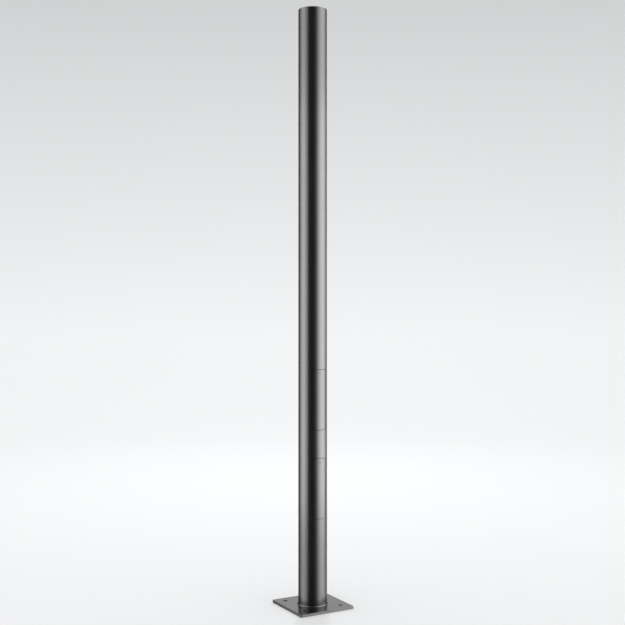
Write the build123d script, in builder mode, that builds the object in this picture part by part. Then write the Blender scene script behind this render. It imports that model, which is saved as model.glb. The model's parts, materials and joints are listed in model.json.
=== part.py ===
"""Street lamp post: a round steel column on a welded flange plate, with two flush doors one above the other.

The column stands on the XY plane with its axis on Z, and both doors face -Y. Sizes are in millimetres.
Depth means distance from the column's axis towards the doors, so a depth of 90 is at y = -90.
"""

import os

from build123d import *

os.makedirs("parts", exist_ok=True)

# ---------------------------------------------------------------- driving dimensions
# Column
post_height = 4000.0
tube_diameter = 193.7
tube_wall = 4.5
tube_rim_chamfer = 0.6

# Flange plate and its welds
plate_side = 400.0
plate_thickness = 18.0
plate_corner_radius = 6.0
plate_edge_chamfer = 0.8
plate_fit_clearance = 0.3
bolt_spacing = 270.0
bolt_hole_diameter = 28.0
tube_recess = 6.0
base_weld_leg = 7.0
base_weld_bulge = 0.6
root_weld_leg = 4.4

# Luminaire flange inside the top of the column
flange_thickness = 10.0
flange_recess = 1.0
flange_fit_clearance = 0.2
flange_ring_width = 37.35
flange_bolt_from_wall = 17.35
flange_bolt_count = 4
flange_first_bolt_angle = 45.0
flange_thread_core = 6.8
flange_weld_leg = 4.0

# Doors, their openings and the frames behind them
door_width = 100.0
door_height = 400.0
door_corner_radius = 18.8
door_thickness = 3.0
door_gap = 2.8
door_bottoms = {"lower": 600.0, "upper": 1190.0}
frame_thickness = 4.0
frame_fit_clearance = 0.2
frame_lip = 8.6
frame_overlap = 10.4
gasket_inset = 1.0
gasket_width = 5.0
gasket_clearance = 0.3

# Hook that hangs a door behind its frame's lower lip
hook_width = 40.0
hook_sheet = 3.0
hook_lip_clearance = 2.0
hook_depth = 14.0
hook_drop = 10.0
hook_leg_height = 28.0

# Quarter-turn lock near a door's top
lock_from_door_top = 25.0
lock_seal_thickness = 0.5
lock_flange_diameter = 18.0
lock_flange_thickness = 1.25
lock_flange_chamfer = 0.4
lock_sleeve_diameter = 14.0
lock_sleeve_clearance = 0.15
lock_sleeve_length = 13.25
lock_cup_diameter = 11.4
lock_cup_depth = 8.5
lock_shaft_diameter = 8.0
lock_shaft_clearance = 0.03
lock_collar_thickness = 1.5
lock_collar_clearance = 0.05
lock_key_radius = 4.2
lock_key_recess = 1.0
lock_square = 6.0
lock_square_clearance = 0.05
lock_nut_across_flats = 19.0
lock_nut_thickness = 6.0
lock_thread_clearance = 0.05
cam_reach = 30.0
cam_heel = 8.0
cam_width = 14.0
cam_thickness = 3.0
cam_tip_radius = 3.0
cam_strike_clearance = 0.5
cam_housing_clearance = 0.3
cam_screw_diameter = 4.2
cam_screw_head_diameter = 9.0
cam_screw_head_height = 3.5
cam_screw_length = 9.0
cam_screw_tip_gap = 0.4
strike_width = 24.0
strike_height = 18.0

# Earth stud on each door
door_stud_diameter = 6.0
door_stud_length = 14.0
door_stud_offset = 25.0
door_stud_nut_flats = 10.0
door_stud_nut_thickness = 5.0
door_stud_washer_diameter = 12.0
door_stud_washer_thickness = 1.6
door_stud_washer_gap = 2.0
stud_thread_clearance = 0.05

# Equipment rail behind each door
rail_width = 30.0
rail_depth = 15.0
rail_wall = 2.0
rail_slot = 16.0
rail_end_gap = 10.0
rail_from_wall = 17.35
bracket_plate_width = 36.0
bracket_plate_height = 40.0
bracket_thickness = 4.0
bracket_shelf_width = 50.0
bracket_from_rail_end = 30.0
rail_bolt_diameter = 5.9
rail_bolt_head_diameter = 11.0
rail_bolt_head_height = 3.5
rail_bolt_clearance = 0.35
bracket_thread_clearance = 0.05

# Connection box behind the lower door
box_width = 74.0
box_height = 240.0
box_base_depth = 26.0
box_cover_depth = 38.7
box_wall = 2.5
box_corner_radius = 6.0
box_cover_edge = 1.5
box_seal_thickness = 1.0
box_seal_clearance = 0.3
box_boss_radius = 4.5
box_boss_inset = 6.5
box_screw_hole_diameter = 4.6
box_screw_hole_depth = 16.0
box_screw_diameter = 4.0
box_screw_head_diameter = 7.6
box_screw_head_height = 2.4
box_screw_engagement = 11.0
screw_slot_width = 0.8
screw_slot_depth = 1.2
box_clamp_spacing = 190.0
box_clamp_diameter = 5.9
box_clamp_hole_diameter = 6.6
box_clamp_head_diameter = 11.0
box_clamp_head_height = 3.5
slide_nut_width = 24.0
slide_nut_height = 14.0
slide_nut_thickness = 5.0
slide_nut_clearance = 0.2

# Cable glands of the connection box
gland_thread_diameter = 16.0
gland_bore_diameter = 10.0
gland_flats = 20.0
gland_flange_thickness = 4.0
gland_neck_length = 10.0
gland_inner_length = 7.0
gland_nut_thickness = 4.0
gland_dome_gap = 1.0
gland_dome_length = 13.0
gland_dome_round = 2.0
gland_dome_bore_diameter = 12.0
gland_seal_bore_diameter = 8.0
gland_hole_clearance = 0.2
gland_thread_clearance = 0.05
gland_from_box_back = 14.0
gland_spacing = 26.0

# Fuse holders and their pull-out carriers
fuse_spacing = 34.0
fuse_holder_width = 26.0
fuse_holder_height = 90.0
fuse_holder_depth = 35.5
fuse_holder_above_middle = 40.0
fuse_terminal_spacing = 76.0
fuse_pocket_width = 18.0
fuse_pocket_height = 60.0
fuse_pocket_depth = 22.0
carrier_clearance = 0.3
carrier_grip_thickness = 4.0
carrier_grip_overhang = 3.0
carrier_finger_width = 8.0
carrier_finger_height = 26.0
carrier_finger_depth = 2.5
carrier_corner_radius = 2.0
fuse_link_diameter = 10.3
fuse_link_length = 38.0
fuse_link_clearance = 0.15
fuse_link_from_rear = 6.7
fuse_cap_length = 9.5
fuse_cap_step = 0.15

# Terminal block
terminal_poles = 5
terminal_pitch = 12.0
terminal_height = 36.0
terminal_depth = 27.5
terminal_below_middle = 52.0
terminal_wire_diameter = 5.0
terminal_wire_depth = 15.0
terminal_screw_diameter = 5.0
terminal_screw_spacing = 18.0
terminal_screw_depth = 9.0
terminal_screw_length = 7.0
terminal_screw_clearance = 0.1
terminal_divider_depth = 3.0
terminal_divider_width = 1.2
terminal_divider_margin = 2.0

# Earth terminal on the column's inner wall
earth_stud_diameter = 8.0
earth_stud_length = 26.0
earth_stud_height = 640.0
earth_nut_flats = 13.0
earth_nut_thickness = 6.5
earth_washer_diameter = 16.0
earth_washer_thickness = 1.6
earth_first_nut_gap = 2.0
earth_terminal_gap = 3.0

# ---------------------------------------------------------------- derived values
tube_radius = tube_diameter / 2
bore_radius = tube_radius - tube_wall
plate_hole_radius = tube_radius + plate_fit_clearance
frame_radius = bore_radius - frame_fit_clearance
frame_inner_radius = frame_radius - frame_thickness
door_inner_radius = tube_radius - door_thickness
gasket_radius = frame_radius + gasket_clearance
opening_width = door_width + 2 * door_gap
opening_height = door_height + 2 * door_gap
past_tube = tube_radius + 5.0


def corner_radius(across_flats):
    """The distance from a hexagon's middle to its corners."""
    return across_flats / 3**0.5


def save(builder, name):
    """Labels a finished sub-part and writes it as its own STEP file."""
    builder.part.label = name
    export_step(builder.part, f"parts/{name}.step")


# ---------------------------------------------------------------- column and flange plate
with BuildPart() as post_tube:
    with BuildSketch(Plane.XY.offset(tube_recess)):
        Circle(tube_radius)
        Circle(bore_radius, mode=Mode.SUBTRACT)
    extrude(amount=post_height - tube_recess)
    rim = post_tube.edges().filter_by(GeomType.CIRCLE).group_by(Axis.Z)[-1]
    chamfer(rim, tube_rim_chamfer)
    with BuildSketch(Plane.XZ):
        for door_bottom in door_bottoms.values():
            with Locations((0, door_bottom + door_height / 2)):
                RectangleRounded(opening_width, opening_height, door_corner_radius + door_gap)
    extrude(amount=past_tube, mode=Mode.SUBTRACT)
save(post_tube, "post_tube")

with BuildPart() as base_plate:
    with BuildSketch():
        RectangleRounded(plate_side, plate_side, plate_corner_radius)
        Circle(plate_hole_radius, mode=Mode.SUBTRACT)
        with GridLocations(bolt_spacing, bolt_spacing, 2, 2):
            Circle(bolt_hole_diameter / 2, mode=Mode.SUBTRACT)
    extrude(amount=plate_thickness)
    outline = base_plate.faces().sort_by(Axis.Z)[-1].outer_wire().edges()
    chamfer(outline, plate_edge_chamfer)
save(base_plate, "base_plate")

with BuildPart() as base_weld:
    with BuildSketch(Plane.XZ):
        with BuildLine():
            toe = (tube_radius + base_weld_leg, plate_thickness)
            root = (tube_radius, plate_thickness)
            crown = (tube_radius, plate_thickness + base_weld_leg)
            middle = base_weld_leg / 2 + base_weld_bulge
            ThreePointArc(toe, (tube_radius + middle, plate_thickness + middle), crown)
            Polyline(crown, root, toe)
        make_face()
    revolve(axis=Axis.Z)
save(base_weld, "base_weld")

with BuildPart() as root_weld:
    with BuildSketch(Plane.XZ):
        Polygon(
            (plate_hole_radius, tube_recess),
            (plate_hole_radius, tube_recess - root_weld_leg),
            (plate_hole_radius - root_weld_leg, tube_recess),
            align=None,
        )
    revolve(axis=Axis.Z)
save(root_weld, "root_weld")

# ---------------------------------------------------------------- luminaire flange in the column's top
flange_top = post_height - flange_recess
flange_bottom = flange_top - flange_thickness
flange_bore_radius = bore_radius - flange_ring_width
flange_bolt_radius = bore_radius - flange_bolt_from_wall

with BuildPart() as top_flange:
    with BuildSketch(Plane.XY.offset(flange_bottom)):
        Circle(bore_radius - flange_fit_clearance)
        Circle(flange_bore_radius, mode=Mode.SUBTRACT)
        with PolarLocations(flange_bolt_radius, flange_bolt_count, flange_first_bolt_angle):
            Circle(flange_thread_core / 2, mode=Mode.SUBTRACT)
    extrude(amount=flange_thickness)
save(top_flange, "top_flange")

with BuildPart() as top_flange_weld:
    with BuildSketch(Plane.XZ):
        Polygon(
            (bore_radius, flange_bottom),
            (bore_radius, flange_bottom - flange_weld_leg),
            (bore_radius - flange_weld_leg, flange_bottom),
            align=None,
        )
    revolve(axis=Axis.Z)
save(top_flange_weld, "top_flange_weld")

# ---------------------------------------------------------------- doors, locks and rails, once for each
lock_flange_back = tube_radius + lock_seal_thickness
lock_front = lock_flange_back + lock_flange_thickness
lock_sleeve_end = lock_flange_back - lock_sleeve_length
lock_cup_floor = lock_front - lock_cup_depth
lock_nut_front = (door_inner_radius**2 - corner_radius(lock_nut_across_flats) ** 2) ** 0.5
cam_front = lock_sleeve_end - cam_housing_clearance
cam_back = cam_front - cam_thickness
strike_face = cam_front + cam_strike_clearance
lock_hole_radius = lock_sleeve_diameter / 2 + lock_sleeve_clearance
rail_back = bore_radius - rail_from_wall
rail_front = rail_back - rail_depth
rail_length = door_height - 2 * rail_end_gap


def door_outline(inset, mode=Mode.ADD):
    """A door's rounded outline, drawn inwards by inset."""
    radius = door_corner_radius - inset
    RectangleRounded(door_width - 2 * inset, door_height - 2 * inset, radius, mode=mode)


for level, door_bottom in door_bottoms.items():
    door_top = door_bottom + door_height
    door_middle = door_bottom + door_height / 2
    lock_height = door_top - lock_from_door_top

    with BuildPart() as door_panel:
        with BuildSketch(Plane.XY.offset(door_bottom)):
            Circle(tube_radius)
            Circle(door_inner_radius, mode=Mode.SUBTRACT)
        extrude(amount=door_height)
        with BuildSketch(Plane.XZ):
            with Locations((0, door_middle)):
                door_outline(0)
        extrude(amount=past_tube, mode=Mode.INTERSECT)
        with BuildSketch(Plane.XZ):
            with Locations((0, lock_height)):
                Circle(lock_hole_radius)
        extrude(amount=past_tube, mode=Mode.SUBTRACT)
    save(door_panel, f"{level}_door_panel")

    with BuildPart() as door_gasket:
        with BuildSketch(Plane.XY.offset(door_bottom)):
            Circle(door_inner_radius)
            Circle(gasket_radius, mode=Mode.SUBTRACT)
        extrude(amount=door_height)
        with BuildSketch(Plane.XZ):
            with Locations((0, door_middle)):
                door_outline(gasket_inset)
                door_outline(gasket_inset + gasket_width, Mode.SUBTRACT)
        extrude(amount=past_tube, mode=Mode.INTERSECT)
    save(door_gasket, f"{level}_door_gasket")

    with BuildPart() as door_frame:
        with BuildSketch(Plane.XY.offset(door_bottom - door_gap - frame_overlap)):
            Circle(frame_radius)
            Circle(frame_inner_radius, mode=Mode.SUBTRACT)
        extrude(amount=opening_height + 2 * frame_overlap)
        with BuildSketch(Plane.XZ):
            with Locations((0, door_middle)):
                door_outline(-door_gap - frame_overlap)
                door_outline(frame_lip, Mode.SUBTRACT)
        extrude(amount=past_tube, mode=Mode.INTERSECT)
    save(door_frame, f"{level}_door_frame")

    with BuildPart() as door_hook:
        lip_top = door_bottom + frame_lip
        shelf = lip_top + hook_lip_clearance
        front = hook_depth - tube_radius
        with BuildSketch(Plane.YZ):
            Polygon(
                (-tube_radius, shelf),
                (front, shelf),
                (front, lip_top - hook_drop),
                (front + hook_sheet, lip_top - hook_drop),
                (front + hook_sheet, shelf + hook_sheet),
                (-door_inner_radius + hook_sheet, shelf + hook_sheet),
                (-door_inner_radius + hook_sheet, shelf + hook_leg_height),
                (-tube_radius, shelf + hook_leg_height),
                align=None,
            )
        extrude(amount=hook_width / 2, both=True)
        with BuildSketch(Plane.XY.offset(lip_top - hook_drop)):
            Circle(door_inner_radius)
        extrude(amount=hook_drop + hook_lip_clearance + hook_leg_height, mode=Mode.INTERSECT)
    save(door_hook, f"{level}_door_hook")

    with BuildPart() as lock_strike:
        with BuildSketch(Plane.XZ.offset(strike_face)):
            with Locations((0, door_top - frame_lip + strike_height / 2)):
                Rectangle(strike_width, strike_height)
        extrude(amount=frame_inner_radius - strike_face)
        with BuildSketch(Plane.XY.offset(door_top - frame_lip)):
            Circle(frame_inner_radius)
        extrude(amount=strike_height, mode=Mode.INTERSECT)
    save(lock_strike, f"{level}_lock_strike")

    lock_centre = (0, lock_height)

    with BuildPart() as lock_housing:
        with BuildSketch(Plane.XZ.offset(lock_flange_back)):
            with Locations(lock_centre):
                Circle(lock_flange_diameter / 2)
        extrude(amount=lock_flange_thickness)
        chamfer(lock_housing.edges().group_by(Axis.Y)[0], lock_flange_chamfer)
        with BuildSketch(Plane.XZ.offset(lock_sleeve_end)):
            with Locations(lock_centre):
                Circle(lock_sleeve_diameter / 2)
        extrude(amount=lock_sleeve_length)
        with BuildSketch(Plane.XZ.offset(lock_cup_floor)):
            with Locations(lock_centre):
                Circle(lock_cup_diameter / 2)
        extrude(amount=lock_cup_depth, mode=Mode.SUBTRACT)
        with BuildSketch(Plane.XZ.offset(lock_sleeve_end)):
            with Locations(lock_centre):
                Circle(lock_shaft_diameter / 2 + lock_shaft_clearance)
        extrude(amount=lock_cup_floor - lock_sleeve_end, mode=Mode.SUBTRACT)
    save(lock_housing, f"{level}_lock_housing")

    with BuildPart() as lock_seal:
        with BuildSketch(Plane.XZ.offset(door_inner_radius)):
            with Locations(lock_centre):
                Circle(lock_flange_diameter / 2)
                Circle(lock_hole_radius, mode=Mode.SUBTRACT)
        extrude(amount=lock_flange_back - door_inner_radius)
        with BuildSketch(Plane.XY.offset(lock_height - lock_flange_diameter)):
            Circle(tube_radius)
        extrude(amount=2 * lock_flange_diameter, mode=Mode.SUBTRACT)
    save(lock_seal, f"{level}_lock_seal")

    with BuildPart() as lock_nut:
        with BuildSketch(Plane.XZ.offset(lock_nut_front - lock_nut_thickness)):
            with Locations(lock_centre):
                RegularPolygon(corner_radius(lock_nut_across_flats), 6)
                Circle(lock_sleeve_diameter / 2 + lock_thread_clearance, mode=Mode.SUBTRACT)
        extrude(amount=lock_nut_thickness)
    save(lock_nut, f"{level}_lock_nut")

    with BuildPart() as lock_rotor:
        collar_back = lock_cup_floor + lock_collar_clearance
        collar_front = collar_back + lock_collar_thickness
        with BuildSketch(Plane.XZ.offset(collar_back)):
            with Locations(lock_centre):
                Circle(lock_cup_diameter / 2 - lock_collar_clearance)
        extrude(amount=lock_collar_thickness)
        with BuildSketch(Plane.XZ.offset(collar_front)):
            with Locations(lock_centre):
                RegularPolygon(lock_key_radius, 3)
        extrude(amount=lock_front - lock_key_recess - collar_front)
        with BuildSketch(Plane.XZ.offset(cam_front + lock_collar_clearance)):
            with Locations(lock_centre):
                Circle(lock_shaft_diameter / 2)
        extrude(amount=collar_back - cam_front - lock_collar_clearance)
        with BuildSketch(Plane.XZ.offset(cam_back + lock_collar_clearance)):
            with Locations(lock_centre):
                Rectangle(lock_square, lock_square)
        extrude(amount=cam_thickness)
        with BuildSketch(Plane.XZ.offset(cam_back)):
            with Locations(lock_centre):
                Circle(cam_screw_diameter / 2 + lock_thread_clearance)
        extrude(amount=cam_screw_length + cam_screw_tip_gap, mode=Mode.SUBTRACT)
    save(lock_rotor, f"{level}_lock_rotor")

    with BuildPart() as lock_cam:
        with BuildSketch(Plane.XZ.offset(cam_back)):
            with Locations(((cam_heel - cam_reach) / 2, lock_height)):
                RectangleRounded(cam_reach + cam_heel, cam_width, cam_tip_radius)
            with Locations(lock_centre):
                square_hole = lock_square + 2 * lock_square_clearance
                Rectangle(square_hole, square_hole, mode=Mode.SUBTRACT)
        extrude(amount=cam_thickness)
    save(lock_cam, f"{level}_lock_cam")

    with BuildPart() as lock_screw:
        with BuildSketch(Plane.XZ.offset(cam_back - cam_screw_head_height)):
            with Locations(lock_centre):
                Circle(cam_screw_head_diameter / 2)
                RegularPolygon(cam_screw_diameter / 2, 6, mode=Mode.SUBTRACT)
        extrude(amount=cam_screw_head_height / 2)
        with BuildSketch(Plane.XZ.offset(cam_back - cam_screw_head_height / 2)):
            with Locations(lock_centre):
                Circle(cam_screw_head_diameter / 2)
        extrude(amount=cam_screw_head_height / 2)
        with BuildSketch(Plane.XZ.offset(cam_back)):
            with Locations(lock_centre):
                Circle(cam_screw_diameter / 2)
        extrude(amount=cam_screw_length)
    save(lock_screw, f"{level}_lock_screw")

    stud_centre = (door_stud_offset, door_middle)
    stud_tip = door_inner_radius - door_stud_length

    with BuildPart() as door_earth_stud:
        with BuildSketch(Plane.XZ.offset(stud_tip)):
            with Locations(stud_centre):
                Circle(door_stud_diameter / 2)
        extrude(amount=door_stud_length)
        with BuildSketch(Plane.XY.offset(door_middle - door_stud_diameter)):
            Circle(door_inner_radius)
        extrude(amount=2 * door_stud_diameter, mode=Mode.INTERSECT)
    save(door_earth_stud, f"{level}_door_earth_stud")

    with BuildPart() as door_earth_nut:
        edge_of_washer = door_stud_offset + door_stud_washer_diameter / 2
        washer_front = (door_inner_radius**2 - edge_of_washer**2) ** 0.5 - door_stud_washer_gap
        washer_back = washer_front - door_stud_washer_thickness
        stud_hole_radius = door_stud_diameter / 2 + stud_thread_clearance
        with BuildSketch(Plane.XZ.offset(washer_back)):
            with Locations(stud_centre):
                Circle(door_stud_washer_diameter / 2)
                Circle(stud_hole_radius, mode=Mode.SUBTRACT)
        extrude(amount=door_stud_washer_thickness)
        with BuildSketch(Plane.XZ.offset(washer_back - door_stud_nut_thickness)):
            with Locations(stud_centre):
                RegularPolygon(corner_radius(door_stud_nut_flats), 6)
                Circle(stud_hole_radius, mode=Mode.SUBTRACT)
        extrude(amount=door_stud_nut_thickness)
    save(door_earth_nut, f"{level}_door_earth_nut")

    rail_bottom = door_bottom + rail_end_gap
    rail_top = rail_bottom + rail_length
    bracket_heights = (rail_bottom + bracket_from_rail_end, rail_top - bracket_from_rail_end)

    with BuildPart() as rail:
        with BuildSketch(Plane.XY.offset(rail_bottom)):
            with Locations((0, rail_back - rail_depth / 2)):
                Rectangle(rail_width, rail_depth)
                Rectangle(rail_width - 2 * rail_wall, rail_depth - 2 * rail_wall, mode=Mode.SUBTRACT)
            with Locations((0, rail_front + rail_wall / 2)):
                Rectangle(rail_slot, rail_wall, mode=Mode.SUBTRACT)
        extrude(amount=rail_length)
        with BuildSketch(Plane.XZ.offset(-rail_back)):
            for height in bracket_heights:
                with Locations((0, height)):
                    Circle(rail_bolt_diameter / 2 + rail_bolt_clearance)
        extrude(amount=rail_wall, mode=Mode.SUBTRACT)
    save(rail, f"{level}_rail")

    with BuildPart() as rail_brackets:
        for height in bracket_heights:
            with BuildSketch(Plane.XZ.offset(-rail_back - bracket_thickness)):
                with Locations((0, height)):
                    Rectangle(bracket_plate_width, bracket_plate_height)
                    Circle(rail_bolt_diameter / 2 + bracket_thread_clearance, mode=Mode.SUBTRACT)
            extrude(amount=bracket_thickness)
            for side in (-1, 1):
                shelf_height = height + side * (bracket_plate_height - bracket_thickness) / 2
                with BuildSketch(Plane.XY.offset(shelf_height - bracket_thickness / 2)):
                    with Locations((0, rail_back + bracket_thickness)):
                        shelf_reach = tube_radius - rail_back
                        Rectangle(bracket_shelf_width, shelf_reach, align=(Align.CENTER, Align.MIN))
                    Circle(bore_radius, mode=Mode.INTERSECT)
                extrude(amount=bracket_thickness)
    save(rail_brackets, f"{level}_rail_brackets")

    with BuildPart() as rail_bolts:
        head_seat = rail_back - rail_wall
        for height in bracket_heights:
            with BuildSketch(Plane.XZ.offset(-head_seat)):
                with Locations((0, height)):
                    Circle(rail_bolt_head_diameter / 2)
                    RegularPolygon(rail_bolt_diameter / 2, 6, mode=Mode.SUBTRACT)
            extrude(amount=rail_bolt_head_height)
            with BuildSketch(Plane.XZ.offset(-rail_back - bracket_thickness)):
                with Locations((0, height)):
                    Circle(rail_bolt_diameter / 2)
            extrude(amount=bracket_thickness + rail_wall + rail_bolt_head_height / 2)
    save(rail_bolts, f"{level}_rail_bolts")

# ---------------------------------------------------------------- connection box behind the lower door
box_middle = door_bottoms["lower"] + door_height / 2
box_bottom = box_middle - box_height / 2
box_top = box_middle + box_height / 2
box_back = rail_front
box_inner_back = box_back - box_wall
box_rim = box_back - box_base_depth
cover_rim = box_rim - box_seal_thickness - box_seal_clearance
cover_front = cover_rim - box_cover_depth
boss_x = box_width / 2 - box_boss_inset
boss_z = box_height / 2 - box_boss_inset
boss_centres = [(-boss_x, box_middle + boss_z), (boss_x, box_middle - boss_z)]
clamp_centres = [(0, box_middle + box_clamp_spacing / 2), (0, box_middle - box_clamp_spacing / 2)]
gland_y = box_back - gland_from_box_back
# Each gland: x, height of the box wall's outer face, and which way it points.
glands = [(-gland_spacing / 2, box_bottom, -1), (gland_spacing / 2, box_bottom, -1), (0, box_top, 1)]


def box_outline(inset):
    """The connection box's rounded outline, drawn inwards by inset."""
    with Locations((0, box_middle)):
        RectangleRounded(box_width - 2 * inset, box_height - 2 * inset, box_corner_radius - inset)


with BuildPart() as box_base:
    with BuildSketch(Plane.XZ.offset(-box_back)):
        box_outline(0)
    extrude(amount=box_base_depth)
    with BuildSketch(Plane.XZ.offset(-box_inner_back)):
        box_outline(box_wall)
    extrude(amount=box_base_depth, mode=Mode.SUBTRACT)
    with BuildSketch(Plane.XZ.offset(-box_back)):
        with Locations(*boss_centres):
            Circle(box_boss_radius)
    extrude(amount=box_base_depth)
    with BuildSketch(Plane.XZ.offset(-box_rim - box_screw_hole_depth)):
        with Locations(*boss_centres):
            Circle(box_screw_hole_diameter / 2)
    extrude(amount=box_screw_hole_depth, mode=Mode.SUBTRACT)
    with BuildSketch(Plane.XZ.offset(-box_back)):
        with Locations(*clamp_centres):
            Circle(box_clamp_hole_diameter / 2)
    extrude(amount=box_wall, mode=Mode.SUBTRACT)
    for x, wall_face, way in glands:
        with BuildSketch(Plane.XY.offset(wall_face)):
            with Locations((x, gland_y)):
                Circle(gland_thread_diameter / 2 + gland_hole_clearance)
        extrude(amount=-way * box_wall, mode=Mode.SUBTRACT)
save(box_base, "box_base")

with BuildPart() as box_seal:
    with BuildSketch(Plane.XZ.offset(-box_rim)):
        box_outline(0)
        with Locations((0, box_middle)):
            RectangleRounded(
                box_width - 2 * box_wall,
                box_height - 2 * box_wall,
                box_corner_radius - box_wall,
                mode=Mode.SUBTRACT,
            )
    extrude(amount=box_seal_thickness)
save(box_seal, "box_seal")

with BuildPart() as box_cover:
    with BuildSketch(Plane.XZ.offset(-cover_rim)):
        box_outline(0)
    extrude(amount=box_cover_depth)
    fillet(box_cover.faces().sort_by(Axis.Y)[0].outer_wire().edges(), box_cover_edge)
    with BuildSketch(Plane.XZ.offset(-cover_rim)):
        box_outline(box_wall)
    extrude(amount=box_cover_depth - box_wall, mode=Mode.SUBTRACT)
    with BuildSketch(Plane.XZ.offset(-cover_rim)):
        with Locations(*boss_centres):
            Circle(box_boss_radius)
    extrude(amount=box_cover_depth - box_wall)
    with BuildSketch(Plane.XZ.offset(-cover_rim)):
        with Locations(*boss_centres):
            Circle(box_screw_hole_diameter / 2)
    extrude(amount=box_cover_depth, mode=Mode.SUBTRACT)
save(box_cover, "box_cover")

with BuildPart() as box_cover_screws:
    with BuildSketch(Plane.XZ.offset(-cover_front)):
        with Locations(*boss_centres):
            Circle(box_screw_head_diameter / 2)
    extrude(amount=box_screw_head_height)
    with BuildSketch(Plane.XZ.offset(-cover_front + box_screw_head_height)):
        with Locations(*boss_centres):
            Rectangle(box_screw_head_diameter, screw_slot_width)
    extrude(amount=-screw_slot_depth, mode=Mode.SUBTRACT)
    with BuildSketch(Plane.XZ.offset(-box_rim - box_screw_engagement)):
        with Locations(*boss_centres):
            Circle(box_screw_diameter / 2)
    extrude(amount=box_rim + box_screw_engagement - cover_front)
save(box_cover_screws, "box_cover_screws")

nut_front = rail_front + rail_wall + slide_nut_clearance

with BuildPart() as box_clamp_screws:
    with BuildSketch(Plane.XZ.offset(-box_inner_back)):
        with Locations(*clamp_centres):
            Circle(box_clamp_head_diameter / 2)
    extrude(amount=box_clamp_head_height)
    with BuildSketch(Plane.XZ.offset(-box_inner_back + box_clamp_head_height / 2)):
        with Locations(*clamp_centres):
            RegularPolygon(box_clamp_diameter / 2, 6)
    extrude(amount=box_clamp_head_height, mode=Mode.SUBTRACT)
    with BuildSketch(Plane.XZ.offset(-nut_front - slide_nut_thickness)):
        with Locations(*clamp_centres):
            Circle(box_clamp_diameter / 2)
    extrude(amount=nut_front + slide_nut_thickness - box_inner_back)
save(box_clamp_screws, "box_clamp_screws")

with BuildPart() as box_slide_nuts:
    with BuildSketch(Plane.XZ.offset(-nut_front - slide_nut_thickness)):
        with Locations(*clamp_centres):
            Rectangle(slide_nut_width, slide_nut_height)
            Circle(box_clamp_diameter / 2 + stud_thread_clearance, mode=Mode.SUBTRACT)
    extrude(amount=slide_nut_thickness)
save(box_slide_nuts, "box_slide_nuts")

# ---------------------------------------------------------------- cable glands
with BuildPart() as gland_bodies:
    for x, wall_face, way in glands:
        inside = wall_face - way * gland_inner_length
        with BuildSketch(Plane.XY.offset(inside)):
            with Locations((x, gland_y)):
                Circle(gland_thread_diameter / 2)
                Circle(gland_bore_diameter / 2, mode=Mode.SUBTRACT)
        extrude(amount=way * (gland_inner_length + gland_flange_thickness + gland_neck_length))
        with BuildSketch(Plane.XY.offset(wall_face)):
            with Locations((x, gland_y)):
                RegularPolygon(corner_radius(gland_flats), 6)
                Circle(gland_bore_diameter / 2, mode=Mode.SUBTRACT)
        extrude(amount=way * gland_flange_thickness)
save(gland_bodies, "gland_bodies")

with BuildPart() as gland_lock_nuts:
    for x, wall_face, way in glands:
        with BuildSketch(Plane.XY.offset(wall_face - way * box_wall)):
            with Locations((x, gland_y)):
                RegularPolygon(corner_radius(gland_flats), 6)
                Circle(gland_thread_diameter / 2 + gland_thread_clearance, mode=Mode.SUBTRACT)
        extrude(amount=-way * gland_nut_thickness)
save(gland_lock_nuts, "gland_lock_nuts")

with BuildPart() as gland_dome_nuts:
    for x, wall_face, way in glands:
        dome_start = wall_face + way * (gland_flange_thickness + gland_dome_gap)
        with BuildSketch(Plane.XY.offset(dome_start)):
            with Locations((x, gland_y)):
                RegularPolygon(corner_radius(gland_flats), 6)
                Circle(gland_thread_diameter / 2 + gland_thread_clearance, mode=Mode.SUBTRACT)
        extrude(amount=way * gland_neck_length)
        with BuildSketch(Plane.XY.offset(dome_start + way * gland_neck_length)):
            with Locations((x, gland_y)):
                Circle(gland_flats / 2)
                Circle(gland_dome_bore_diameter / 2, mode=Mode.SUBTRACT)
        extrude(amount=way * (gland_dome_length - gland_neck_length))
    ends = gland_dome_nuts.edges().filter_by(GeomType.CIRCLE).filter_by(
        lambda edge: abs(edge.radius - gland_flats / 2) < 0.01
    )
    tips = ends.group_by(Axis.Z)[0] + ends.group_by(Axis.Z)[-1]
    fillet(tips, gland_dome_round)
save(gland_dome_nuts, "gland_dome_nuts")

with BuildPart() as gland_seals:
    for x, wall_face, way in glands:
        neck_end = wall_face + way * (gland_flange_thickness + gland_neck_length)
        with BuildSketch(Plane.XY.offset(neck_end)):
            with Locations((x, gland_y)):
                Circle(gland_dome_bore_diameter / 2 - gland_thread_clearance)
                Circle(gland_seal_bore_diameter / 2, mode=Mode.SUBTRACT)
        extrude(amount=way * (gland_dome_length - gland_neck_length))
save(gland_seals, "gland_seals")

# ---------------------------------------------------------------- fuse holders and pull-out carriers
holder_middle = box_middle + fuse_holder_above_middle
holder_front = box_inner_back - fuse_holder_depth
pocket_floor = holder_front + fuse_pocket_depth
fuse_places = {"left": -fuse_spacing / 2, "right": fuse_spacing / 2}

with BuildPart() as fuse_holders:
    for x in fuse_places.values():
        with BuildSketch(Plane.XZ.offset(-box_inner_back)):
            with Locations((x, holder_middle)):
                Rectangle(fuse_holder_width, fuse_holder_height)
        extrude(amount=fuse_holder_depth)
        with BuildSketch(Plane.XZ.offset(-pocket_floor)):
            with Locations((x, holder_middle)):
                Rectangle(fuse_pocket_width, fuse_pocket_height)
        extrude(amount=fuse_pocket_depth, mode=Mode.SUBTRACT)
        with BuildSketch(Plane.XZ.offset(-holder_front)):
            with Locations((x, holder_middle)):
                with GridLocations(0, fuse_terminal_spacing, 1, 2):
                    Circle(terminal_screw_diameter / 2)
        extrude(amount=-terminal_screw_depth, mode=Mode.SUBTRACT)
save(fuse_holders, "fuse_holders")

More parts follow.
